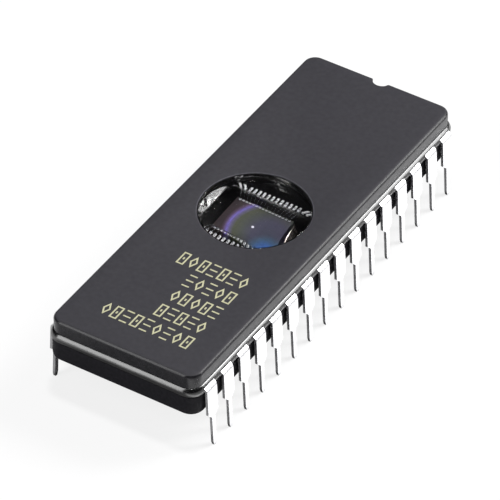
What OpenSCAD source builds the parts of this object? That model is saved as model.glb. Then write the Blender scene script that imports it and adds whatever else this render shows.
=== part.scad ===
// Windowed memory chip in a 32-lead ceramic dual in-line package.
// Two pressed ceramic halves are fused together by seal glass, with the lead frame bedded
// in the glass between them. The die lies in a cavity of the base, under a clear window.
// Origin: middle of the package, at the height of the lead tips. +Y points to the notched
// end, +Z is up. Lead 1 is at the notched end on the -X side, and the numbers run round.

/* [Ceramic base] */
// Width of the base, across the two rows of leads
body_w = 14.9; // [14.5:0.1:15.3]
// Length of the base
body_l = 42.0; // [41:0.1:43]
// Height of the base
base_h = 2.0; // [1.7:0.05:2.4]
// Height of the base's underside above the lead tips
standoff_h = 3.9; // [3.7:0.05:4.4]
// Radius of the four upright corners
corner_r = 1.3; // [0.8:0.1:1.6]
// Radius along the base's bottom edge
base_edge_r = 0.35; // [0.15:0.05:0.5]
// Radius along the base's top edge
base_shoulder_r = 0.16; // [0.08:0.01:0.2]

/* [Die cavity] */
// Width of the cavity, along X
cavity_w = 8.4; // [7.6:0.1:8.8]
// Length of the cavity, along Y
cavity_l = 5.5; // [5:0.1:5.8]
// Depth of the cavity in the base
cavity_d = 0.45; // [0.4:0.05:0.8]
// Radius of the corners of the cavity and of the glass round it
cavity_r = 0.5; // [0.3:0.1:0.8]

/* [Seal glass] */
// Thickness of the glass under the lead frame
base_glass_h = 0.4; // [0.3:0.05:0.5]
// Thickness of the glass from the lead frame's underside to the lid
lid_glass_h = 0.5; // [0.4:0.05:0.8]
// How far the glass bulges past the base's side
bead_out = 0.08; // [0.02:0.01:0.1]
// Clearance of the opening in the lid's glass round the window's hole
glass_clear = 0.2; // [0.1:0.05:0.5]

/* [Ceramic lid] */
// Height of the lid
lid_h = 1.4; // [1.2:0.05:1.8]
// How far the lid's side stands back from the base's side
lid_setback = 0.15; // [0.05:0.01:0.3]
// Radius along the lid's top edge
lid_edge_r = 0.22; // [0.1:0.02:0.3]
// Radius of the half-round index notch
notch_r = 0.9; // [0.6:0.1:1.3]

/* [Window] */
// Diameter of the window
window_d = 9.8; // [9.2:0.1:10.2]
// Thickness of the window
window_h = 1.1; // [0.7:0.05:1.15]
// Depth of the window's face below the lid's top
window_sink = 0.05; // [0.02:0.01:0.15]
// Thickness of the sealing frit between the window and its hole
frit_t = 0.08; // [0.04:0.01:0.15]
// Bevel round the top of the window's hole
window_bevel = 0.04; // [0.01:0.01:0.06]

/* [Lead frame] */
// Distance between neighbouring leads
lead_pitch = 2.54; // [2.5:0.01:2.58]
// Thickness of the lead frame
lead_t = 0.25; // [0.2:0.01:0.3]
// Width of a lead's shoulder
shoulder_w = 1.45; // [1.2:0.05:1.6]
// Width of a lead's pin
pin_w = 0.46; // [0.38:0.01:0.56]
// Height of the shoulder's lower corners above the lead tips
shoulder_z = 3.6; // [3.3:0.05:3.9]
// Height of the pointed end of a pin
point_h = 0.4; // [0.2:0.05:0.6]
// Gap between the base's side and a lead
lead_gap = 0.15; // [0.1:0.01:0.3]
// Inner radius of the bend
bend_r = 0.3; // [0.22:0.01:0.34]
// Outward lean of the leads, in degrees
splay = 2.5; // [0:0.5:6]
// Width of an inner finger
finger_w = 0.18; // [0.14:0.01:0.24]
// Distance between neighbouring finger tips
finger_pitch = 0.43; // [0.4:0.01:0.48]
// Length of a lead's flat root inside the bend
root_l = 0.7; // [0.5:0.05:1]
// Distance from the cavity's edge to the finger tips
tip_gap = 0.12; // [0.05:0.01:0.3]
// Reach of a finger's slanting stretch, along X and along Y
slant = 2; // [1:0.1:2.4]

/* [Die] */
// Width of the die, along X
die_w = 5.3; // [4.5:0.1:6]
// Length of the die, along Y
die_l = 4.0; // [3.4:0.1:4.3]
// Thickness of the die
die_h = 0.5; // [0.35:0.05:0.6]
// Place of the die's middle along X
die_x = -0.4; // [-0.6:0.1:0.6]
// Place of the die's middle along Y
die_y = 0.25; // [-0.3:0.05:0.3]
// Thickness of the bond under the die
attach_h = 0.05; // [0.02:0.01:0.08]
// How far the bond under the die stands out round it
attach_out = 0.2; // [0.05:0.01:0.24]
// Side of a bond pad
pad_w = 0.14; // [0.1:0.01:0.18]
// Distance between neighbouring bond pads
pad_pitch = 0.31; // [0.26:0.01:0.33]
// Diameter of the bond wire
wire_d = 0.05; // [0.03:0.01:0.07]
// Distance from a finger's tip to the wire's foot on it
foot_in = 0.25; // [0.15:0.01:0.4]
// Height of a wire's arch above the straight line between its ends
wire_arch = 0.2; // [0.2:0.02:0.3]

/* [Marking] */
// Height of one mark
mark_h = 1.55; // [1:0.05:1.8]
// Width of one mark
mark_w = 0.72; // [0.5:0.02:0.8]
// Width of an ink stroke
stroke_w = 0.14; // [0.1:0.01:0.2]
// Distance between neighbouring marks in a row
mark_pitch = 1.0; // [0.95:0.05:1.1]
// Distance between the rows of marks
row_pitch = 2.2; // [2:0.1:2.3]
// Place of the rows' right ends along X
mark_right = 4.6; // [4:0.1:5]
// Place of the first row's lower edge along Y
mark_y = -9.25; // [-9.5:0.05:-8]

/* [Hidden] */
$fn = 64;

// Leads in one quarter of the package, from the middle to one end
QUARTER = 8;
LEADS = 4 * QUARTER;
// Steps in a rounded edge and in a lead's bend
EDGE_STEPS = 6;
BEND_STEPS = 14;
// Thickness of the ink film and of a bond pad, and the play of cuts through a surface
ink_h = 0.02;
pad_h = 0.02;
cut = 1;

// Heights of the stack, from the lead tips up
base_z = standoff_h;
glass_z = base_z + base_h;
frame_z = glass_z + base_glass_h;
lid_z = frame_z + lid_glass_h;
top_z = lid_z + lid_h;
cavity_z = glass_z - cavity_d;
die_z = cavity_z + attach_h;
pad_z = die_z + die_h;
frame_top = frame_z + lead_t;

// Middles of the upright corners
corner_x = body_w / 2 - corner_r;
corner_y = body_l / 2 - corner_r;
lid_r = corner_r - lid_setback;
lid_end = body_l / 2 - lid_setback;

// Middle of the bend, and the plan of the lead frame inside the glass
bend_x = body_w / 2 + lead_gap - bend_r;
bend_z = frame_z - bend_r;
root_x = bend_x - root_l;
tip_y = cavity_l / 2 + tip_gap;
hole_d = window_d + 2 * frit_t;
opening_w = hole_d + 2 * glass_clear;

// The lane on which the finger nearest the middle runs past the cavity, and the reach of
// its turns
lane_x = cavity_w / 2 + (root_x - cavity_w / 2) / 3;
turn_l = (root_x - cavity_w / 2) / 6;

// A quarter circle of a rounded edge: middle at [x, z], from one angle to the other
function edge_arc(x, z, r, from, to) =
    [for (i = [0 : EDGE_STEPS])
        let (a = from + (to - from) * i / EDGE_STEPS)
        [x + r * cos(a), z + r * sin(a)]];

// A quarter of an ellipse of the bead: from its widest point at the lead frame's underside
// to a ceramic half's edge at radius r, which lies rise above that (or below, if negative)
function bulge(r, rise, from, to) =
    [for (i = [0 : EDGE_STEPS])
        let (a = from + (to - from) * i / EDGE_STEPS)
        [r + (bead_r - r) * cos(a), frame_z + rise * abs(sin(a))]];

// Sides of the ceramic halves and of the bead between them: [distance from a corner's
// middle, height], from the bottom up. The bead bulges past the base and leans in to the lid.
base_side = concat(
    edge_arc(corner_r - base_edge_r, base_z + base_edge_r, base_edge_r, -90, 0),
    edge_arc(corner_r - base_shoulder_r, glass_z - base_shoulder_r, base_shoulder_r, 0, 90));
bead_r = corner_r + bead_out;
base_bead_side = bulge(corner_r - base_shoulder_r, -base_glass_h, -90, 0);
lid_bead_side = bulge(lid_r, lid_glass_h, 0, 90);
lid_side = concat([[lid_r, lid_z]],
    edge_arc(lid_r - lid_edge_r, top_z - lid_edge_r, lid_edge_r, 0, 90));

// The upright section of a slab whose sides stand off from +-reach
function slab_section(side, reach) = concat(
    [for (p = side) [reach + p[0], p[1]]],
    [for (i = [len(side) - 1 : -1 : 0]) [-reach - side[i][0], side[i][1]]]);

// A slab with four round corners, whose side follows a profile all the way round
module round_slab(side, x = corner_x, y = corner_y) {
    rotate([90, 0, 0])
        linear_extrude(2 * y, center = true)
            polygon(slab_section(side, x));
    rotate([90, 0, 90])
        linear_extrude(2 * x, center = true)
            polygon(slab_section(side, y));
    for (turn = [0 : 3])
        translate([(turn == 0 || turn == 3 ? x : -x), (turn < 2 ? y : -y), 0])
            rotate([0, 0, 90 * turn])
                rotate_extrude(angle = 90)
                    polygon(concat([[0, side[0][1]]], side, [[0, side[len(side) - 1][1]]]));
}

// A plain block with four round corners, from z0 to z1
module round_block(w, l, r, z0, z1) {
    round_slab([[r, z0], [r, z1]], w / 2 - r, l / 2 - r);
}

module ceramic_base() {
    color("#26262a")
        difference() {
            round_slab(base_side);
            round_block(cavity_w, cavity_l, cavity_r, cavity_z, glass_z + cut);
        }
}

module base_seal_glass() {
    color("#4a4a50")
        difference() {
            round_slab(base_bead_side);
            round_block(cavity_w, cavity_l, cavity_r, glass_z - cut, frame_z + cut);
            each_lead() lead_section(leg = false);
        }
}

module lid_seal_glass() {
    color("#5a5a62")
        difference() {
            round_slab(lid_bead_side);
            round_block(opening_w, opening_w, cavity_r, frame_z - cut, lid_z + cut);
            each_lead() {
                lead_section(leg = false);
                lead_finger($k);
            }
        }
}

module ceramic_lid() {
    color("#46454a")
        difference() {
            round_slab(lid_side);
            translate([0, 0, lid_z - cut])
                cylinder(d = hole_d, h = lid_h + 2 * cut);
            translate([0, 0, top_z - window_bevel])
                cylinder(d1 = hole_d, d2 = hole_d + 4 * window_bevel,
                    h = 2 * window_bevel);
            translate([0, lid_end + lid_setback, lid_z - cut])
                cylinder(r = notch_r, h = lid_h + 2 * cut);
        }
}

module window_frit() {
    color("#16161a")
        difference() {
            translate([0, 0, lid_z])
                cylinder(d = hole_d, h = lid_h - window_sink);
            translate([0, 0, lid_z - cut])
                cylinder(d = window_d, h = lid_h + 2 * cut);
        }
}

module uv_window() {
    color("#b9c4cc")
        translate([0, 0, top_z - window_sink - window_h])
            cylinder(d = window_d, h = window_h);
}

module die_attach() {
    color("#8a7444")
        translate([die_x, die_y, 0])
            round_block(die_w + 2 * attach_out, die_l + 2 * attach_out, 2 * attach_out,
                cavity_z, die_z);
}

module die() {
    color("#4f5170")
        translate([die_x - die_w / 2, die_y - die_l / 2, die_z])
            cube([die_w, die_l, die_h]);
}

// The two rows of pads along the die's edges that face the finger tips
function pad_place(sx, sy, k) =
    [die_x + sx * (QUARTER - k - 0.5) * pad_pitch, die_y + sy * (die_l / 2 - pad_w)];

module bond_pads() {
    color("#d8d8de")
        for (sx = [-1, 1], sy = [-1, 1], k = [0 : QUARTER - 1])
            let (p = pad_place(sx, sy, k))
                translate([p[0] - pad_w / 2, p[1] - pad_w / 2, pad_z])
                    cube([pad_w, pad_w, pad_h]);
}

// A wire's flattened foot: longer, wider and thinner than the wire, and turned along it
foot_share = [2.4, 1.2, 0.7];
module wire_foot(p, z, turn) {
    foot = wire_d * foot_share;
    translate([p[0], p[1], z])
        rotate([0, 0, turn])
            translate([-foot[0] / 2, -foot[1] / 2, 0])
                cube(foot);
}

// One arched wire between two points, with its two feet: an arc of a circle that stands
// upright, through both ends and through the arch's top
module wire(a, za, b, zb) {
    run = norm(b - a);
    rise = zb - za;
    chord = norm([run, rise]);
    slope = atan2(rise, run);
    turn = atan2(b[1] - a[1], b[0] - a[0]);
    arc_r = (chord * chord / 4 + wire_arch * wire_arch) / (2 * wire_arch);
    half = asin(chord / 2 / arc_r);
    seat = wire_d / 2;
    wire_foot(a, za, turn);
    wire_foot(b, zb, turn);
    translate([a[0], a[1], za + seat])
        rotate([0, 0, turn])
            rotate([90, 0, 0])
                rotate([0, 0, slope])
                    translate([chord / 2, wire_arch - arc_r, 0])
                        rotate([0, 0, 90 - half])
                            rotate_extrude(angle = 2 * half)
                                translate([arc_r, 0])
                                    circle(d = wire_d, $fn = 24);
}

module bond_wires() {
    color("#e6e6ea")
        for (sx = [-1, 1], sy = [-1, 1], k = [0 : QUARTER - 1])
            wire(pad_place(sx, sy, k), pad_z + pad_h,
                [sx * finger_x(k), sy * (tip_y + foot_in)], frame_top);
}

// Runs its children once for each lead, in the lead's own quarter, with $k counting from
// the package's middle to its end
module each_lead() {
    for (sx = [0, 1], sy = [0, 1], $k = [0 : QUARTER - 1])
        mirror([sx, 0, 0])
            mirror([0, sy, 0])
                translate([0, lead_y($k), 0])
                    children();
}

// Place along Y of the lead with count k, and place along X of its finger's tip
function lead_y(k) = (k + 0.5) * lead_pitch;
function finger_x(k) = (QUARTER - k - 0.5) * finger_pitch;

// Points along one face of the bend, from the root to the leg, at a radius about its middle
function bend_face(r) =
    [for (i = [0 : BEND_STEPS])
        let (a = 90 - (90 - splay) * i / BEND_STEPS)
        [bend_x + r * cos(a), bend_z + r * sin(a)]];

// Where a face of the leaning leg meets the height of the tips
function tip_x(face) =
    let (p = face[len(face) - 1])
    p[0] + p[1] * tan(splay);

// The section of a lead from its root over the bend, with the shoulder's width and its
// middle at y = 0. With a leg it runs on down to the tip.
module lead_section(leg = true) {
    over = bend_face(bend_r + lead_t);
    under = bend_face(bend_r);
    rotate([90, 0, 0])
        linear_extrude(shoulder_w, center = true)
            polygon(concat(
                [[root_x, frame_top]], over,
                leg ? [[tip_x(over), 0], [tip_x(under), 0]] : [],
                [for (i = [len(under) - 1 : -1 : 0]) under[i]],
                [[root_x, frame_z]]));
}

// Seen from the side, a lead is cut to the outline of shoulder, pin and point
module lead_outline() {
    taper = (shoulder_w - pin_w) / 2;
    half = [[pin_w / 4, 0], [pin_w / 2, point_h], [pin_w / 2, shoulder_z - taper],
        [shoulder_w / 2, shoulder_z], [shoulder_w / 2, top_z]];
    rotate([90, 0, 90])
        linear_extrude(body_w)
            polygon(concat(half,
                [for (i = [len(half) - 1 : -1 : 0]) [-half[i][0], half[i][1]]]));
}

// Unit vector from p to q, and the same turned left
function along(p, q) = (q - p) / norm(q - p);
function left(v) = [-v[1], v[0]];

// One edge of a strip that follows a path: the path's points moved sideways by half a
// width, to the mitre at each knee
function strip_edge(path, half) =
    [for (i = [0 : len(path) - 1])
        let (before = along(path[max(i - 1, 0)], path[max(i, 1)]),
            after = along(path[min(i, len(path) - 2)], path[min(i + 1, len(path) - 1)]),
            mitre = left(before) + left(after))
        path[i] + mitre * (2 * half / (mitre * mitre))];

// The path of a finger in its quarter, from the root to its tip beside the cavity. The
// finger nearest the middle first runs round the cavity's corner.
function finger_path(k) =
    let (x = finger_x(k), y = lead_y(k), reach = min(slant, y - tip_y - finger_w))
    k == 0
        ? [[root_x, y], [lane_x + turn_l, y], [lane_x, y + turn_l],
            [lane_x, tip_y + turn_l / 4], [lane_x - turn_l, tip_y + turn_l * 5 / 4],
            [x + turn_l, tip_y + turn_l * 5 / 4], [x, tip_y + turn_l / 4], [x, tip_y]]
        : [[root_x, y], [x + reach, y], [x, y - reach], [x, tip_y]];

module lead_finger(k) {
    path = finger_path(k);
    translate([0, -lead_y(k), frame_z])
        linear_extrude(lead_t)
            polygon(concat(strip_edge(path, finger_w / 2),
                [for (i = [len(path) - 1 : -1 : 0]) strip_edge(path, -finger_w / 2)[i]]));
}

// One whole lead: leg, bend, root and inner finger, placed by its number
module lead(number) {
    sx = number > LEADS / 2 ? 1 : -1;
    y = (sx > 0 ? number - 0.75 * LEADS - 0.5 : LEADS / 4 + 0.5 - number) * lead_pitch;
    k = floor(abs(y) / lead_pitch);
    color("#d9d9dd")
        mirror([sx < 0 ? 1 : 0, 0, 0])
            mirror([0, y < 0 ? 1 : 0, 0])
                translate([0, lead_y(k), 0]) {
                    intersection() {
                        lead_section();
                        lead_outline();
                    }
                    lead_finger(k);
                }
}

// Marks of three simple kinds, with the lower left corner at the origin: a lozenge, three
// bars and a box with a dot
module mark(kind) {
    w = mark_w;
    h = mark_h;
    if (kind == 0) {
        side_distance = w * h / 2 / norm([w, h]);
        translate([w / 2, h / 2, 0])
            difference() {
                lozenge(1, 0, ink_h);
                lozenge(1 - stroke_w / side_distance, -cut, ink_h + 2 * cut);
            }
    }
    if (kind == 1) {
        for (y = [0, (h - stroke_w) / 2, h - stroke_w])
            translate([0, y, 0])
                cube([w, stroke_w, ink_h]);
    }
    if (kind == 2) {
        difference() {
            cube([w, h, ink_h]);
            translate([stroke_w, stroke_w, -cut])
                cube([w - 2 * stroke_w, h - 2 * stroke_w, ink_h + 2 * cut]);
        }
        translate([(w - stroke_w) / 2, (h - 2 * stroke_w) / 2, 0])
            cube([stroke_w, 2 * stroke_w, ink_h]);
    }
}

// An upright lozenge about the origin, as large as a mark times a share
module lozenge(share, z, height) {
    translate([0, 0, z])
        linear_extrude(height)
            polygon(share / 2 * [[0, -mark_h], [mark_w, 0], [0, mark_h], [-mark_w, 0]]);
}

// Marks in each row, set against the same right end
row_marks = [7, 5, 5, 5, 9];

module marking_ink() {
    color("#f1efdc")
        for (row = [0 : len(row_marks) - 1], i = [0 : row_marks[row] - 1])
            translate([mark_right - mark_w - i * mark_pitch, mark_y - row * row_pitch, top_z])
                mark((2 * row + i + floor(i / 3)) % 3);
}

ceramic_base();
base_seal_glass();
lid_seal_glass();
ceramic_lid();
window_frit();
uv_window();
die_attach();
die();
bond_pads();
bond_wires();
marking_ink();
lead(1);  // lead_01
lead(2);  // lead_02
lead(3);  // lead_03
lead(4);  // lead_04
lead(5);  // lead_05
lead(6);  // lead_06
lead(7);  // lead_07
lead(8);  // lead_08
lead(9);  // lead_09
lead(10);  // lead_10
lead(11);  // lead_11
lead(12);  // lead_12
lead(13);  // lead_13
lead(14);  // lead_14
lead(15);  // lead_15
lead(16);  // lead_16
lead(17);  // lead_17
lead(18);  // lead_18
lead(19);  // lead_19
lead(20);  // lead_20
lead(21);  // lead_21
lead(22);  // lead_22
lead(23);  // lead_23
lead(24);  // lead_24
lead(25);  // lead_25
lead(26);  // lead_26
lead(27);  // lead_27
lead(28);  // lead_28
lead(29);  // lead_29
lead(30);  // lead_30
lead(31);  // lead_31
lead(32);  // lead_32
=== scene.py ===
import math

import bmesh
import bpy
from mathutils import Matrix, Vector, noise


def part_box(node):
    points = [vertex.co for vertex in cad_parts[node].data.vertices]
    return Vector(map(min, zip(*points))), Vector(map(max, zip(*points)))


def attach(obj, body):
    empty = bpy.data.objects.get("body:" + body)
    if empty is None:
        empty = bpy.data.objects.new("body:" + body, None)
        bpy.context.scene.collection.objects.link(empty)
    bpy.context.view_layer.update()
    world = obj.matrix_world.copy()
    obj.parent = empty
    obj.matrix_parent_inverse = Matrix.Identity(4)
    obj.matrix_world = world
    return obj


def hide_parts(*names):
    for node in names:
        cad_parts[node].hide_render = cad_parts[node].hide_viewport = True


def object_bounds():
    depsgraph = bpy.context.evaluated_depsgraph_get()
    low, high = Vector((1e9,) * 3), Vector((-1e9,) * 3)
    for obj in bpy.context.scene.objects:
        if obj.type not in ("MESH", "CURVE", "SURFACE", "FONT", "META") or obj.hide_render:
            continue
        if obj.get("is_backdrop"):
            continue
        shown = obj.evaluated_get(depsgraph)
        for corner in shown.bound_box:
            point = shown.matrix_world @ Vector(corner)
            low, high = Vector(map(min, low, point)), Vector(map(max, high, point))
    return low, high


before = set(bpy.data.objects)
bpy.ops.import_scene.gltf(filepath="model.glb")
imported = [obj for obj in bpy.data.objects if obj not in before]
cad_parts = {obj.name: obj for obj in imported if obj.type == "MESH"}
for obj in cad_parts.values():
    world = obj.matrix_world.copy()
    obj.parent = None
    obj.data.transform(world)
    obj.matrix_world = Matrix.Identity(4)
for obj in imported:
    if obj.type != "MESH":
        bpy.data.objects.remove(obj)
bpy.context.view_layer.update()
MM = 0.001


# Camera
# A long lens looks down on the plain end of the package and on the row of leads 17 to 32,
# from so far away that the long edges hardly draw together.
picture_side = 500
focal_length = 5536.19
aim_pixel = (254.9, 247.71)
aim_point = Vector((0, 0, 4 * MM))
camera_distance = 476.11 * MM
camera_azimuth = math.radians(32.32)
camera_elevation = math.radians(40.97)
film_width = 36

back = Vector((
    math.sin(camera_azimuth) * math.cos(camera_elevation),
    -math.cos(camera_azimuth) * math.cos(camera_elevation),
    math.sin(camera_elevation)))
right = Vector((math.cos(camera_azimuth), math.sin(camera_azimuth), 0))
up = back.cross(right)
pixel = camera_distance / focal_length
eye = (aim_point + back * camera_distance
       - right * (aim_pixel[0] - picture_side / 2) * pixel
       + up * (aim_pixel[1] - picture_side / 2) * pixel)

camera_data = bpy.data.cameras.new("camera")
camera_data.sensor_width = film_width
camera_data.lens = focal_length / picture_side * film_width
camera_data.clip_start = 10 * MM
camera = bpy.data.objects.new("camera", camera_data)
camera.matrix_world = Matrix.Translation(eye) @ Matrix((right, up, back)).transposed().to_4x4()
bpy.context.scene.collection.objects.link(camera)
bpy.context.scene.camera = camera
bpy.context.scene.view_settings.view_transform = "Standard"


# Floor
# A sheet of matt white card, much wider than the view, which shows almost white to the eye
# and keeps the package's shadow. Mirror-bright surfaces see painted strips of light and
# shade on it instead: painted shade under the package and past its right side, a strip of
# painted light between them, and a grey one on the left.
floor_width = 4.0
card_white = (0.88, 0.88, 0.885, 1)
mirrored_width = 40 * MM
mirrored_strongest = 1.6
# Steps of grey across the card, in mm from the middle line, for glossy rays only: painted shade and
# painted light in reflections.
painted_reflection_strips = [
    (-13.0, 0.55), (-12.5, 0.28), (-8.4, 0.28), (-8.0, 0.16),
    (8.0, 0.16), (8.3, 0.78), (10.3, 0.78), (10.7, 0.90), (15.5, 0.90), (16.5, 0.36)]
white_to_eye = 0.82

bm = bmesh.new()
bmesh.ops.create_grid(bm, x_segments=1, y_segments=1, size=floor_width / 2)
floor_mesh = bpy.data.meshes.new("floor")
bm.to_mesh(floor_mesh)
bm.free()
floor = bpy.data.objects.new("floor", floor_mesh)
bpy.context.scene.collection.objects.link(floor)
floor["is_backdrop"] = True

card = bpy.data.materials.new("card")
card.use_nodes = True
card_tree = card.node_tree
card_tree.nodes.clear()
card_place = card_tree.nodes.new("ShaderNodeTexCoord")
card_axes = card_tree.nodes.new("ShaderNodeSeparateXYZ")
card_across = card_tree.nodes.new("ShaderNodeMapRange")
card_across.inputs["From Min"].default_value = -mirrored_width / 2
card_across.inputs["From Max"].default_value = mirrored_width / 2
card_painted_reflection = card_tree.nodes.new("ShaderNodeValToRGB")
for place, grey in painted_reflection_strips:
    stop = card_painted_reflection.color_ramp.elements.new(place * MM / mirrored_width + 0.5)
    stop.color = (grey, grey, grey, 1)
card_painted_reflection.color_ramp.elements.remove(card_painted_reflection.color_ramp.elements[-1])
card_painted_reflection.color_ramp.elements.remove(card_painted_reflection.color_ramp.elements[0])
card_strong = card_tree.nodes.new("ShaderNodeVectorMath")
card_strong.operation = "SCALE"
card_strong.inputs["Scale"].default_value = mirrored_strongest
card_ray = card_tree.nodes.new("ShaderNodeLightPath")
card_colour = card_tree.nodes.new("ShaderNodeMix")
card_colour.data_type = "RGBA"
card_colour.inputs["A"].default_value = card_white
card_lit = card_tree.nodes.new("ShaderNodeBsdfDiffuse")
card_glow = card_tree.nodes.new("ShaderNodeEmission")
card_eye = card_tree.nodes.new("ShaderNodeMath")
card_eye.operation = "MULTIPLY"
card_eye.inputs[1].default_value = white_to_eye
card_mix = card_tree.nodes.new("ShaderNodeMixShader")
card_out = card_tree.nodes.new("ShaderNodeOutputMaterial")
card_tree.links.new(card_place.outputs["Object"], card_axes.inputs["Vector"])
card_tree.links.new(card_axes.outputs["X"], card_across.inputs["Value"])
card_tree.links.new(card_across.outputs["Result"], card_painted_reflection.inputs["Fac"])
card_tree.links.new(card_painted_reflection.outputs["Color"], card_strong.inputs[0])
card_tree.links.new(card_strong.outputs["Vector"], card_colour.inputs["B"])
card_tree.links.new(card_ray.outputs["Is Glossy Ray"], card_colour.inputs["Factor"])
card_tree.links.new(card_colour.outputs["Result"], card_lit.inputs["Color"])
card_tree.links.new(card_ray.outputs["Is Camera Ray"], card_eye.inputs[0])
card_tree.links.new(card_eye.outputs[0], card_mix.inputs["Fac"])
card_tree.links.new(card_lit.outputs["BSDF"], card_mix.inputs[1])
card_tree.links.new(card_glow.outputs["Emission"], card_mix.inputs[2])
card_tree.links.new(card_mix.outputs["Shader"], card_out.inputs["Surface"])
floor_mesh.materials.append(card)


# Light
# The main softbox hangs overhead. Two behind the right side of the package, one above the
# other, glint in its glass and along its edges, and a tall one in front on the left draws
# the seal bead round. The room itself is dim and grey.
room_grey = (0.02, 0.02, 0.021, 1)


def softbox(name, toward, distance, width, height, radiance):
    """A lamp that stands off in one direction, faces the package and has one brightness
    over its whole face."""
    lamp = bpy.data.lights.new(name, "AREA")
    lamp.shape = "RECTANGLE"
    lamp.size = width
    lamp.size_y = height
    lamp.energy = radiance * math.pi * width * height
    stand = bpy.data.objects.new(name, lamp)
    direction = Vector(toward).normalized()
    stand.location = direction * distance
    stand.rotation_mode = "QUATERNION"
    stand.rotation_quaternion = direction.to_track_quat("Z", "Y")
    bpy.context.scene.collection.objects.link(stand)


softbox("overhead", (0.02, 0.0, 1.0), 0.55, 0.06, 0.06, 122)
softbox("glint", (0.42, 0.60, 0.70), 0.45, 0.17, 0.17, 14.0)
softbox("edge_light", (0.62, 0.60, 0.42), 0.45, 0.12, 0.38, 8.0)
softbox("bead_light", (-0.40, -0.80, 0.52), 0.40, 0.12, 0.46, 5.0)

room = bpy.data.worlds.new("room")
room.use_nodes = True
room.node_tree.nodes["Background"].inputs["Color"].default_value = room_grey
bpy.context.scene.world = room


# Ceramic base
# The lower half of the package: black alumina powder pressed in a die, with a pocket for
# the chip, and fired. The die gives it round edges, and its skin is left as fired.
base_low, base_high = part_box("ceramic_base")
corner_radius = 1.3 * MM
base_bottom_radius = 0.35 * MM
base_shoulder_radius = 0.06 * MM
pocket_half = Vector((4.2, 2.75)) * MM
pocket_corner = 0.5 * MM
pocket_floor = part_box("die_attach")[0].z
corner_steps = 12
near_enough = 1e-7


def light_of(red, green, blue):
    """The colour that a screen shows at these steps of 0 to 255."""
    return [((c / 255 + 0.055) / 1.055) ** 2.4 for c in (red, green, blue)] + [1]


def rounded(bm, edges, radius, steps):
    """Rounds edges, and returns the new faces' vertices."""
    return bmesh.ops.bevel(
        bm, geom=edges, offset=radius, segments=steps, profile=0.5, affect="EDGES",
        material=-1)["verts"]


def slab(bm, half_x, half_y, corner, low, high):
    """Adds a slab with four round upright corners, and returns its vertices."""
    block = bmesh.ops.create_cube(bm, size=2)["verts"]
    bmesh.ops.scale(bm, vec=(half_x, half_y, (high - low) / 2), verts=block)
    bmesh.ops.translate(bm, vec=(0, 0, (low + high) / 2), verts=block)
    upright = {e for v in block for e in v.link_edges
               if abs(e.verts[0].co.z - e.verts[1].co.z) > near_enough}
    return rounded(bm, list(upright), corner, corner_steps)


def hollow(bm, half_x, half_y, corner, low, high):
    """Adds the skin of a hollow with four round upright corners, which faces its middle,
    and returns its vertices."""
    skin = slab(bm, half_x, half_y, corner, low, high)
    bmesh.ops.reverse_faces(bm, faces=list({f for v in skin for f in v.link_faces}))
    return skin


def rim(bm, height):
    """The edges that lie level at that height."""
    return [e for e in bm.edges if all(abs(v.co.z - height) < near_enough for v in e.verts)]


def open_level(bm, height):
    """Takes away the flat faces at that height, and leaves their edges."""
    flat = [f for f in bm.faces if all(abs(v.co.z - height) < near_enough for v in f.verts)]
    bmesh.ops.delete(bm, geom=flat, context="FACES_ONLY")


def fired_piece(bm, name, crease=math.radians(32)):
    """Makes an object of a finished mesh, smooth but for its sharp edges."""
    bmesh.ops.recalc_face_normals(bm, faces=bm.faces)
    for face in bm.faces:
        face.smooth = True
    mesh = bpy.data.meshes.new(name)
    bm.to_mesh(mesh)
    bm.free()
    mesh.set_sharp_from_angle(angle=crease)
    made = bpy.data.objects.new(name, mesh)
    bpy.context.scene.collection.objects.link(made)
    return made


def plain_finish(name, roughness, metallic=0.0):
    """A new material with its node tree and its main shader."""
    finish = bpy.data.materials.new(name)
    finish.use_nodes = True
    shader = finish.node_tree.nodes["Principled BSDF"]
    shader.inputs["Roughness"].default_value = roughness
    shader.inputs["Metallic"].default_value = metallic
    return finish, finish.node_tree, shader


def grains(tree, size, detail=3.0, stretch=(1, 1, 1)):
    """Noise in grains of that size, fixed to the piece."""
    place = tree.nodes.new("ShaderNodeTexCoord")
    pull = tree.nodes.new("ShaderNodeMapping")
    pull.inputs["Scale"].default_value = stretch
    cloud = tree.nodes.new("ShaderNodeTexNoise")
    cloud.inputs["Scale"].default_value = 1 / size
    cloud.inputs["Detail"].default_value = detail
    tree.links.new(place.outputs["Object"], pull.inputs["Vector"])
    tree.links.new(pull.outputs["Vector"], cloud.inputs["Vector"])
    return cloud.outputs["Fac"]


def graded(tree, factor, stops):
    """Colours along a factor, from stops of place and colour."""
    node = tree.nodes.new("ShaderNodeValToRGB")
    ramp = node.color_ramp
    ramp.elements[0].position, ramp.elements[0].color = stops[0]
    ramp.elements[1].position, ramp.elements[1].color = stops[-1]
    for place, colour in stops[1:-1]:
        ramp.elements.new(place).color = colour
    tree.links.new(factor, node.inputs["Fac"])
    return node.outputs["Color"]


def spread(tree, factor, low, high, start=0.3, end=0.7):
    """Turns a factor from start to end into a number from low to high."""
    stretch = tree.nodes.new("ShaderNodeMapRange")
    stretch.inputs["From Min"].default_value = start
    stretch.inputs["From Max"].default_value = end
    stretch.inputs["To Min"].default_value = low
    stretch.inputs["To Max"].default_value = high
    tree.links.new(factor, stretch.inputs["Value"])
    return stretch.outputs["Result"]


def blended(tree, factor, under, over):
    """One colour over another by a factor."""
    mix = tree.nodes.new("ShaderNodeMix")
    mix.data_type = "RGBA"
    tree.links.new(factor, mix.inputs["Factor"])
    tree.links.new(under, mix.inputs["A"])
    tree.links.new(over, mix.inputs["B"])
    return mix.outputs["Result"]


def times(tree, one, other):
    """The product of two patterns."""
    product = tree.nodes.new("ShaderNodeMath")
    product.operation = "MULTIPLY"
    tree.links.new(one, product.inputs[0])
    tree.links.new(other, product.inputs[1])
    return product.outputs[0]


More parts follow.
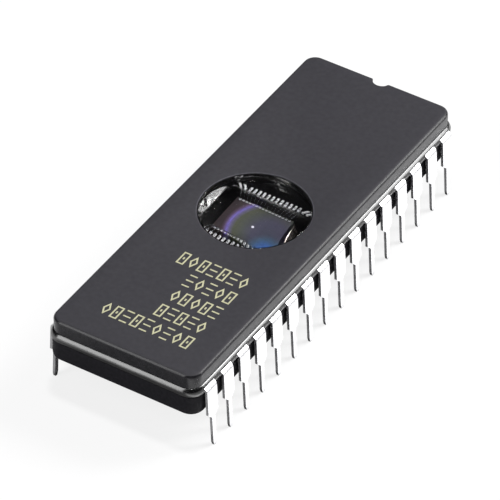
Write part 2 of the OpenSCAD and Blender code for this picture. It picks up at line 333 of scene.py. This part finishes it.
def off_axis(tree, near, far, at_near=0.0, at_far=1.0):
    """A number that goes from one value to another between two distances from the
    package's upright middle line."""
    place = tree.nodes.new("ShaderNodeTexCoord")
    flatten = tree.nodes.new("ShaderNodeMapping")
    flatten.inputs["Scale"].default_value = (1, 1, 0)
    reach = tree.nodes.new("ShaderNodeVectorMath")
    reach.operation = "LENGTH"
    tree.links.new(place.outputs["Object"], flatten.inputs["Vector"])
    tree.links.new(flatten.outputs["Vector"], reach.inputs[0])
    return spread(tree, reach.outputs["Value"], at_near, at_far, near, far)


def pitted(tree, shader, height, depth, strength=1.0):
    """Bump of that depth from a height pattern."""
    bump = tree.nodes.new("ShaderNodeBump")
    bump.inputs["Distance"].default_value = depth
    bump.inputs["Strength"].default_value = strength
    tree.links.new(height, bump.inputs["Height"])
    tree.links.new(bump.outputs["Normal"], shader.inputs["Normal"])


bm = bmesh.new()
slab(bm, base_high.x, base_high.y, corner_radius, base_low.z, base_high.z)
rounded(bm, rim(bm, base_low.z), base_bottom_radius, 6)
rounded(bm, rim(bm, base_high.z), base_shoulder_radius, 4)
hollow(bm, pocket_half.x, pocket_half.y, pocket_corner, pocket_floor, base_high.z)
open_level(bm, base_high.z)
bmesh.ops.bridge_loops(bm, edges=rim(bm, base_high.z))
base = fired_piece(bm, "pressed_base")

black_ceramic, tree, shader = plain_finish("black_ceramic", 0.55)
body_colour = graded(tree, grains(tree, 0.25 * MM), [
    (0.30, light_of(24, 24, 27)), (0.70, light_of(34, 33, 37))])
# Near-black within 6 mm of the middle line: painted shade in the chip's pocket, which also darkens
# the middle of the underside.
pocket_painted_shade = graded(tree, grains(tree, 0.25 * MM), [
    (0.30, light_of(4, 4, 5)), (0.70, light_of(9, 9, 10))])
outside = off_axis(tree, 6.0 * MM, 6.6 * MM)
tree.links.new(blended(tree, outside, pocket_painted_shade, body_colour), shader.inputs["Base Color"])
tree.links.new(times(tree, spread(tree, grains(tree, 0.6 * MM), 0.42, 0.60),
                     off_axis(tree, 6.0 * MM, 6.6 * MM, 0.35, 1.0)), shader.inputs["Roughness"])
shader.inputs["Specular IOR Level"].default_value = 0.06
pitted(tree, shader, grains(tree, 0.06 * MM), 0.004 * MM)
base.data.materials.append(black_ceramic)
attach(base, "root")
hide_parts("ceramic_base")


# Seal glass
# Lead glass, printed on both ceramic halves as a paste and melted between them at about
# 430 degrees. It squeezes out into a shiny bead all round, beds the leads, and inside the
# window it creeps over the fingers in a fillet and leaves their tips bare.
glass_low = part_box("base_seal_glass")[0].z
glass_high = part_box("lid_seal_glass")[1].z
frame_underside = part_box("base_seal_glass")[1].z
frame_upside = frame_underside + 0.25 * MM
lid_low, lid_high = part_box("ceramic_lid")
lid_corner = corner_radius + lid_high.x - base_high.x
bead_corner = lid_corner + 0.30 * MM
foot_corner = corner_radius - 0.04 * MM
bead_power = 1.5
bead_steps = 14
bead_ripple = 0.03 * MM
bead_ripple_length = 2.2 * MM
bead_stretches = 60
opening_half = 5.18 * MM
opening_corner = 0.5 * MM
shelf_rings = 22
wall_lip = 0.1 * MM
sunk_rim = 0.15 * MM
sunk_depth = 0.04 * MM
bare_tip = 0.45 * MM
cover_rise = 0.5 * MM
cover_height = 0.07 * MM
wall_fillet = 0.7 * MM
side_start = 0.05 * MM
side_rise = 0.60
shelf_wave = 0.006 * MM
shelf_wave_length = 0.45 * MM
curl_middle = Vector((-4.62, -0.35)) * MM
curl_reach = 0.85 * MM
curl_strength = 13


def bead_radius(height):
    """Radius of the bead's corner at a height: two quarters of a slightly flattened
    ellipse."""
    if height < frame_underside:
        edge = foot_corner
        rise = (frame_underside - height) / (frame_underside - glass_low)
    else:
        edge = lid_corner
        rise = (height - frame_underside) / (glass_high - frame_underside)
    return edge + (bead_corner - edge) * max(0, 1 - rise ** bead_power) ** (1 / bead_power)


def smooth_step(value):
    """A soft step from 0 to 1 as the value goes from 0 to 1."""
    value = min(1, max(0, value))
    return value * value * (3 - 2 * value)


def shelf_height(x, y):
    """Height of the glass inside the lid's opening: flush with the bare finger tips and
    over the fingers behind them, and a plain slope up to the lid at the ends of the pocket,
    where it froze with a curl in it."""
    out_x = max(0, abs(x) - pocket_half.x)
    out_y = max(0, abs(y) - pocket_half.y)
    over_tips = smooth_step((out_y - bare_tip) / cover_rise)
    level = ((frame_upside - sunk_depth - frame_underside) * smooth_step(out_y / sunk_rim)
             + over_tips * (cover_height + sunk_depth))
    to_wall = smooth_step(1 - (opening_half - abs(y)) / wall_fillet)
    level += (glass_high - frame_underside - level) * to_wall ** 2
    slope = min(1, out_x / near_enough) * (side_start + side_rise * out_x)
    curl = 1 - smooth_step((Vector((x, y)) - curl_middle).length / curl_reach)
    wave = noise.noise(Vector((x, y, 0)) / shelf_wave_length + Vector((3, 7, 0)))
    wave *= shelf_wave * (1 + curl_strength * curl) * smooth_step((out_x + out_y) / sunk_rim)
    return frame_underside + min(max(level, slope) + wave, glass_high - frame_underside)


def cut_level(bm, height):
    """Cuts the whole mesh at one height."""
    bmesh.ops.bisect_plane(
        bm, geom=bm.verts[:] + bm.edges[:] + bm.faces[:], plane_co=(0, 0, height),
        plane_no=(0, 0, 1), dist=near_enough)


def divide_longer(bm, edges, length, cuts):
    """Cuts each edge that is longer than a length into equal stretches."""
    bmesh.ops.subdivide_edges(
        bm, edges=[e for e in edges if e.calc_length() > length], cuts=cuts,
        use_grid_fill=True)


bm = bmesh.new()
slab(bm, lid_high.x, lid_high.y, lid_corner, glass_low, glass_high)
for step in range(1, bead_steps):
    turn = math.pi * (step / bead_steps - 0.5)
    part = (frame_underside - glass_low) if turn < 0 else (glass_high - frame_underside)
    cut_level(bm, frame_underside + part * math.sin(turn))
level = [e for e in bm.edges if abs(e.verts[0].co.z - e.verts[1].co.z) < near_enough]
divide_longer(bm, level, 2 * MM, bead_stretches)
open_level(bm, glass_low)
open_level(bm, glass_high)
middle = Vector((lid_high.x - lid_corner, lid_high.y - lid_corner))
for vertex in bm.verts:
    heart = Vector((
        min(middle.x, max(-middle.x, vertex.co.x)),
        min(middle.y, max(-middle.y, vertex.co.y))))
    outward = (vertex.co.xy - heart).normalized()
    bulge = bead_radius(vertex.co.z)
    share = (bulge - min(lid_corner, foot_corner)) / (bead_corner - lid_corner)
    bulge += share * bead_ripple * (noise.noise(vertex.co / bead_ripple_length) - 0.3)
    vertex.co.xy = heart + outward * bulge
for half_x, half_y, corner, low, high in (
        (pocket_half.x, pocket_half.y, pocket_corner, glass_low, frame_underside),
        (opening_half, opening_half, opening_corner, glass_high - wall_lip, glass_high)):
    wall = hollow(bm, half_x, half_y, corner, low, high)
    level = {e for v in wall for e in v.link_edges
             if abs(e.verts[0].co.z - e.verts[1].co.z) < near_enough}
    divide_longer(bm, level, half_y, bead_stretches)
    open_level(bm, low)
    open_level(bm, high)


def open_rim(height):
    """The open edges at that height."""
    return [e for e in rim(bm, height) if e.is_boundary]


bmesh.ops.bridge_loops(bm, edges=open_rim(glass_low))
bmesh.ops.bridge_loops(bm, edges=open_rim(glass_high))
shelf = bmesh.ops.bridge_loops(
    bm, edges=open_rim(frame_underside) + open_rim(glass_high - wall_lip))
spokes = [e for e in shelf["edges"]
          if abs(e.verts[0].co.z - e.verts[1].co.z) > near_enough]
inner = bmesh.ops.subdivide_edges(
    bm, edges=spokes, cuts=shelf_rings, use_grid_fill=True)["geom_inner"]
for vertex in (v for v in inner if isinstance(v, bmesh.types.BMVert)):
    vertex.co.z = shelf_height(vertex.co.x, vertex.co.y)
seal = fired_piece(bm, "seal_glass", math.radians(50))

lead_glass, tree, shader = plain_finish("lead_glass", 0.24)
tree.links.new(graded(tree, grains(tree, 0.4 * MM), [
    (0.30, light_of(3, 3, 4)), (0.70, light_of(8, 8, 9))]), shader.inputs["Base Color"])
tree.links.new(off_axis(tree, 6.6 * MM, 7.2 * MM, 0.06, 0.24), shader.inputs["Roughness"])
shader.inputs["IOR"].default_value = 1.9
pitted(tree, shader, grains(tree, 0.7 * MM, 0.0), 0.006 * MM)
seal.data.materials.append(lead_glass)
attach(seal, "root")
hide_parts("base_seal_glass", "lid_seal_glass")


# Lead frame
# 32 leads of a nickel-iron alloy, stamped from one strip and bent down after sealing. The
# outsides are dipped in tin, which dries satin with faint runs down the pin. The inner tips
# are clad with soft aluminium, for the bond wires.
lead_names = ["lead_%02d" % number for number in range(1, 33)]

tinned, tree, shader = plain_finish("tinned_lead", 0.34, 1.0)
tree.links.new(graded(tree, grains(tree, 0.5 * MM, stretch=(1, 1, 0.25)), [
    (0.30, light_of(212, 212, 214)), (0.70, light_of(232, 232, 234))]),
    shader.inputs["Base Color"])
tree.links.new(times(tree, spread(tree, grains(tree, 0.22 * MM, stretch=(1, 1, 0.3)), 0.22, 0.36),
                     off_axis(tree, 5.0 * MM, 5.4 * MM, 1.9, 1.0)), shader.inputs["Roughness"])
pitted(tree, shader, grains(tree, 0.12 * MM, stretch=(1, 1, 0.4)), 0.002 * MM)
for name in lead_names:
    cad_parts[name].data.materials.clear()
    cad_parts[name].data.materials.append(tinned)


# Die bond
# A bed of silver-filled glass under the die. It is squeezed out and climbs the die's sides
# in a fillet, widest towards the plain end, and stays grainy and a little pink.
die_low, die_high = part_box("die")
bond_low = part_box("die_attach")[0].z
bond_high = die_high.z - 0.26 * MM
bond_skin = 0.02 * MM
bond_corner = 0.12 * MM
bond_steps = 6
bond_stretches = 40
bond_spread = 0.17 * MM
bond_wave_length = 0.5 * MM


def squeezed(x, y):
    """How far the bond spreads over the pocket's floor at a point of the die's outline."""
    right_side = smooth_step((x - die_high.x + 0.1 * MM) / (0.1 * MM))
    to_plain_end = smooth_step((die_high.y - y) / (die_high.y - die_low.y))
    wave = noise.noise(Vector((x, y, 5)) / bond_wave_length)
    return bond_spread * (1 + right_side * (0.1 + 0.5 * to_plain_end) + 0.3 * wave)


bm = bmesh.new()
die_middle = (die_low + die_high) / 2
slab(bm, (die_high.x - die_low.x) / 2 + bond_skin, (die_high.y - die_low.y) / 2 + bond_skin,
     bond_corner, bond_low, bond_high)
bmesh.ops.translate(bm, vec=(die_middle.x, die_middle.y, 0), verts=bm.verts)
for step in range(1, bond_steps):
    cut_level(bm, bond_low + (bond_high - bond_low) * step / bond_steps)
level = [e for e in bm.edges if abs(e.verts[0].co.z - e.verts[1].co.z) < near_enough]
divide_longer(bm, level, 1 * MM, bond_stretches)
inner_half = (die_high - die_low).xy / 2 - Vector((bond_corner, bond_corner))
for vertex in bm.verts:
    off = vertex.co.xy - die_middle.xy
    heart = Vector((
        min(inner_half.x, max(-inner_half.x, off.x)), min(inner_half.y, max(-inner_half.y, off.y))))
    depth = max(0, bond_high - vertex.co.z) / (bond_high - bond_low)
    vertex.co.xy += (off - heart).normalized() * squeezed(*vertex.co.xy) * depth
bond = fired_piece(bm, "bond_fillet", math.radians(60))

die_bond, tree, shader = plain_finish("die_bond", 0.26, 1.0)
tree.links.new(graded(tree, grains(tree, 0.12 * MM), [
    (0.30, light_of(196, 182, 176)), (0.70, light_of(238, 228, 222))]),
    shader.inputs["Base Color"])
pitted(tree, shader, grains(tree, 0.15 * MM), 0.004 * MM)
bond.data.materials.append(die_bond)
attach(bond, "root")
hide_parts("die_attach")


# Die
# The silicon chip. Its blocks of memory split light like a fine grating; the curved bands
# of violet and olive that this gives, with teal and blue towards one corner, are painted
# into its colour as fixed reflections. Darker wiring runs between the blocks, and a small
# painted highlight lies among them.
arc_middle = Vector((1.31, -0.04, 6.0)) * MM
arc_reach = 5 * MM
glint_middle = Vector((1.9, -1.75, 6.0)) * MM
glint_reach = 2 * MM
block_width = 0.66 * MM
block_height = 0.50 * MM
block_gap = 0.03 * MM
gap_strength = 0.3
highlight_spot_middle = Vector((-0.2, 0.0, 6.0)) * MM
highlight_spot_reach = 0.12 * MM

silicon, tree, shader = plain_finish("silicon", 0.22)
shader.inputs["Specular IOR Level"].default_value = 0.2


def rings(tree, middle, reach):
    """Distance from a point on the piece, as a share of a reach."""
    place = tree.nodes.new("ShaderNodeTexCoord")
    apart = tree.nodes.new("ShaderNodeVectorMath")
    apart.operation = "DISTANCE"
    apart.inputs[1].default_value = middle
    share = tree.nodes.new("ShaderNodeMath")
    share.operation = "DIVIDE"
    share.inputs[1].default_value = reach
    tree.links.new(place.outputs["Object"], apart.inputs[0])
    tree.links.new(apart.outputs["Value"], share.inputs[0])
    return share.outputs[0]


# Curved bands of colour round a point beside the die, and a blue corner: painted diffraction
# reflections.
painted_diffraction_arcs = graded(tree, rings(tree, arc_middle, arc_reach), [
    (0.00, light_of(51, 52, 63)), (0.28, light_of(54, 53, 66)),
    (0.44, light_of(56, 58, 56)), (0.58, light_of(61, 64, 50)),
    (0.64, light_of(74, 71, 94)), (0.68, light_of(90, 80, 140)),
    (0.73, light_of(66, 53, 68)), (0.78, light_of(41, 35, 36)),
    (1.00, light_of(36, 32, 33))])
painted_corner_glint = graded(tree, rings(tree, glint_middle, glint_reach), [
    (0.0, light_of(38, 82, 190)), (0.35, light_of(42, 84, 170)),
    (0.7, light_of(48, 88, 114)), (1.0, light_of(52, 60, 68))])
glint_share = spread(tree, rings(tree, glint_middle, glint_reach), 0.85, 0.0, 0.35, 0.95)
painted_diffraction = blended(tree, glint_share, painted_diffraction_arcs, painted_corner_glint)
cell_blocks = tree.nodes.new("ShaderNodeTexBrick")
cell_blocks.offset = 0
cell_blocks.inputs["Scale"].default_value = 1
cell_blocks.inputs["Brick Width"].default_value = block_width
cell_blocks.inputs["Row Height"].default_value = block_height
cell_blocks.inputs["Mortar Size"].default_value = block_gap
cell_blocks.inputs["Mortar Smooth"].default_value = 0
place = tree.nodes.new("ShaderNodeTexCoord")
tree.links.new(place.outputs["Object"], cell_blocks.inputs["Vector"])
gap_colour = graded(tree, grains(tree, 0.3 * MM), [
    (0.30, light_of(34, 32, 40)), (0.70, light_of(50, 50, 58))])
on_gap = spread(tree, cell_blocks.outputs["Fac"], 0, gap_strength, 0, 1)
patterned = blended(tree, on_gap, painted_diffraction, gap_colour)
# A small near-white spot near the die's middle: a painted highlight.
painted_highlight_spot = graded(tree, grains(tree, 0.05 * MM), [
    (0.30, light_of(170, 172, 176)), (0.70, light_of(236, 238, 240))])
on_highlight_spot = spread(tree, rings(tree, highlight_spot_middle, highlight_spot_reach), 1, 0, 0.9, 1.0)
tree.links.new(blended(tree, on_highlight_spot, patterned, painted_highlight_spot), shader.inputs["Base Color"])
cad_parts["die"].data.materials.clear()
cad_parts["die"].data.materials.append(silicon)


# Bond pads and wires
# Dull aluminium pads on the die, and bright drawn aluminium wire 0.05 mm thick, pressed on
# with ultrasound at both ends, one wire from each pad up and over to its finger.
for name, roughness, dark, light in (
        ("bond_pads", 0.55, (236, 238, 240), (252, 253, 253)),
        ("bond_wires", 0.24, (120, 121, 125), (166, 167, 172))):
    metal, tree, shader = plain_finish(name, roughness, 1.0)
    tree.links.new(graded(tree, grains(tree, 0.05 * MM), [
        (0.30, light_of(*dark)), (0.70, light_of(*light))]), shader.inputs["Base Color"])
    pitted(tree, shader, grains(tree, 0.03 * MM), 0.002 * MM)
    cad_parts[name].data.materials.clear()
    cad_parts[name].data.materials.append(metal)


# Ceramic lid
# The upper half of the package, pressed and fired like the base, with its top lapped flat
# and dull for the print. Its top face is coloured paler than its sides and edges, whose
# darker colour is painted shade. It has the window's hole and, at one end, the notch that
# shows where lead 1 is.
lid_edge_radius = 0.36 * MM
hole_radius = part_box("window_frit")[1].x
notch_radius = 0.9 * MM
rim_radius = 0.07 * MM
round_cut_steps = 128
dull_from = 0.03 * MM
dull_to = 0.10 * MM

bm = bmesh.new()
slab(bm, lid_high.x, lid_high.y, lid_corner, lid_low.z, lid_high.z)
rounded(bm, rim(bm, lid_high.z), lid_edge_radius, 6)
lid = fired_piece(bm, "lapped_lid")
for label, radius, y in (("hole", hole_radius, 0), ("notch", notch_radius, base_high.y)):
    bm = bmesh.new()
    bmesh.ops.create_cone(
        bm, cap_ends=True, segments=round_cut_steps, radius1=radius, radius2=radius,
        depth=4 * (lid_high.z - lid_low.z))
    bmesh.ops.translate(bm, vec=(0, y, lid_high.z), verts=bm.verts)
    drill = fired_piece(bm, label)
    cut = lid.modifiers.new(label, "BOOLEAN")
    cut.object = drill
    cut.solver = "EXACT"
    bpy.context.view_layer.update()
    cut_mesh = bpy.data.meshes.new_from_object(
        lid.evaluated_get(bpy.context.evaluated_depsgraph_get()))
    lid.modifiers.clear()
    lid.data = cut_mesh
    bpy.data.objects.remove(drill)

bm = bmesh.new()
bm.from_mesh(lid.data)
top_rim = [e for e in rim(bm, lid_high.z) if e.calc_face_angle(0) > math.radians(60)]
rounded(bm, top_rim, rim_radius, 3)
for face in bm.faces:
    face.smooth = True
bm.to_mesh(lid.data)
bm.free()
lid.data.set_sharp_from_angle(angle=math.radians(32))

grey_ceramic, tree, shader = plain_finish("grey_ceramic", 0.6)
place = tree.nodes.new("ShaderNodeTexCoord")
axes = tree.nodes.new("ShaderNodeSeparateXYZ")
tree.links.new(place.outputs["Object"], axes.inputs["Vector"])
lapped = spread(tree, axes.outputs["Z"], 0, 1, lid_high.z - dull_to, lid_high.z - dull_from)
# The sides and edges below the lapped top take a darker colour than the top face: painted shade.
skin = graded(tree, grains(tree, 0.3 * MM), [
    (0.30, light_of(24, 24, 27)), (0.70, light_of(36, 35, 39))])
face_colour = graded(tree, grains(tree, 0.45 * MM, 6.0), [
    (0.30, light_of(46, 45, 50)), (0.70, light_of(52, 51, 56))])
# A paler ring on the rounded rim of the window's hole: a painted highlight.
rim_painted_highlight = graded(tree, grains(tree, 0.3 * MM), [
    (0.30, light_of(66, 65, 71)), (0.70, light_of(82, 81, 88))])
near_hole = off_axis(tree, hole_radius + 0.06 * MM, hole_radius + 0.09 * MM)
tree.links.new(blended(tree, near_hole, rim_painted_highlight, blended(tree, lapped, skin, face_colour)),
               shader.inputs["Base Color"])
tree.links.new(spread(tree, lapped, 0.26, 0.72, 0, 1), shader.inputs["Roughness"])
shader.inputs["Specular IOR Level"].default_value = 0.35
pitted(tree, shader, grains(tree, 0.05 * MM), 0.003 * MM)
lid.data.materials.clear()
lid.data.materials.append(grey_ceramic)
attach(lid, "root")
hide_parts("ceramic_lid")


# Window frit
# A ring of dark sealing glass, melted between the window and the wall of its hole.
frit_low, frit_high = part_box("window_frit")
frit_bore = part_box("uv_window")[1].x

bm = bmesh.new()
for radius in (hole_radius, frit_bore):
    wall = bmesh.ops.create_cone(
        bm, cap_ends=False, segments=round_cut_steps, radius1=radius, radius2=radius,
        depth=frit_high.z - frit_low.z)["verts"]
    bmesh.ops.translate(bm, vec=(0, 0, (frit_high.z + frit_low.z) / 2), verts=wall)
bmesh.ops.reverse_faces(bm, faces=list({f for v in wall for f in v.link_faces}))
for height in (frit_low.z, frit_high.z):
    bmesh.ops.bridge_loops(bm, edges=rim(bm, height))
frit = fired_piece(bm, "fused_frit")

frit_glass, tree, shader = plain_finish("frit_glass", 0.34)
tree.links.new(graded(tree, grains(tree, 0.3 * MM), [
    (0.30, light_of(6, 6, 7)), (0.70, light_of(14, 14, 16))]), shader.inputs["Base Color"])
pitted(tree, shader, grains(tree, 0.4 * MM), 0.004 * MM)
frit.data.materials.append(frit_glass)
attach(frit, "root")
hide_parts("window_frit")


# Window
# A disc of ultraviolet-clear quartz glass, ground flat and fire-polished at its rim, through
# which the memory is wiped with ultraviolet light.
window_low, window_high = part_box("uv_window")
window_rim = 0.07 * MM

bm = bmesh.new()
bmesh.ops.create_cone(
    bm, cap_ends=True, segments=round_cut_steps, radius1=window_high.x,
    radius2=window_high.x, depth=window_high.z - window_low.z)
bmesh.ops.translate(bm, vec=(0, 0, (window_high.z + window_low.z) / 2), verts=bm.verts)
rounded(bm, rim(bm, window_high.z) + rim(bm, window_low.z), window_rim, 3)
window = fired_piece(bm, "quartz_window")

quartz, tree, shader = plain_finish("quartz", 0.0)
shader.inputs["Transmission Weight"].default_value = 1
shader.inputs["IOR"].default_value = 1.46
pitted(tree, shader, grains(tree, 1.8 * MM), 0.002 * MM)
clear = tree.nodes.new("ShaderNodeBsdfTransparent")
ray = tree.nodes.new("ShaderNodeLightPath")
pane = tree.nodes.new("ShaderNodeMixShader")
tree.links.new(ray.outputs["Is Shadow Ray"], pane.inputs["Fac"])
tree.links.new(shader.outputs["BSDF"], pane.inputs[1])
tree.links.new(clear.outputs["BSDF"], pane.inputs[2])
tree.links.new(pane.outputs["Shader"], tree.nodes["Material Output"].inputs["Surface"])
window.data.materials.append(quartz)
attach(window, "root")
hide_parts("uv_window")


# Marking
# Five rows of plain marks, stamped on the lid in a cream ink that is baked hard.
ink, tree, shader = plain_finish("ink", 0.6)
tree.links.new(graded(tree, grains(tree, 0.12 * MM), [
    (0.30, light_of(172, 170, 138)), (0.70, light_of(196, 194, 162))]),
    shader.inputs["Base Color"])
pitted(tree, shader, grains(tree, 0.06 * MM), 0.004 * MM)
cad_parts["marking_ink"].data.materials.clear()
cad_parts["marking_ink"].data.materials.append(ink)


# Size
# The box of the finished model.
low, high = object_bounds()
